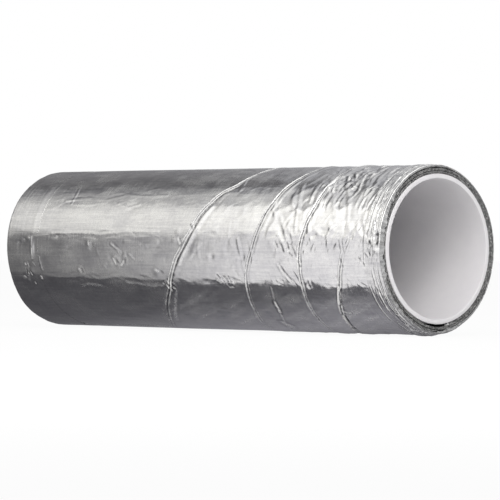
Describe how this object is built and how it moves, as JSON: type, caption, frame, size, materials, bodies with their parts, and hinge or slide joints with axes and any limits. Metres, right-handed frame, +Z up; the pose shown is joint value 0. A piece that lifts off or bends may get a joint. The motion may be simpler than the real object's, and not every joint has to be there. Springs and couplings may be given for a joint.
{
  "type": "insulated air duct",
  "caption": "Rigid round air duct: smooth plastic liner pipe inside a wound foil-faced insulation sheet, closed with a spiral aluminium tape and end collars.",
  "frame": {"origin": "on the liner pipe's axis, midway between its two ends", "axes": "+X along the pipe's axis to the end where the spiral tape finishes, +Z up as the duct lies, +Y completing the right-handed frame"},
  "size_m": [0.5, 0.1491, 0.1519],
  "materials": {
    "liner_plastic": "smooth satin",
    "inner_foil": "bright foil",
    "foam": "cut closed-cell foam",
    "sheet_foil": "dull brushed foil",
    "closing_foil": "bright foil tape",
    "tape_foil": "bright crumpled foil tape",
    "collar_foil": "bright creased foil tape"
  },
  "bodies": {
    "root": {"liner_pipe": "liner_plastic", "start_tape": "inner_foil", "foam_sheet": "foam", "foil_facing": "sheet_foil", "closing_tape": "closing_foil", "spiral_tape": "tape_foil", "near_collar": "collar_foil", "far_collar": "collar_foil"}
  },
  "joints": []
}
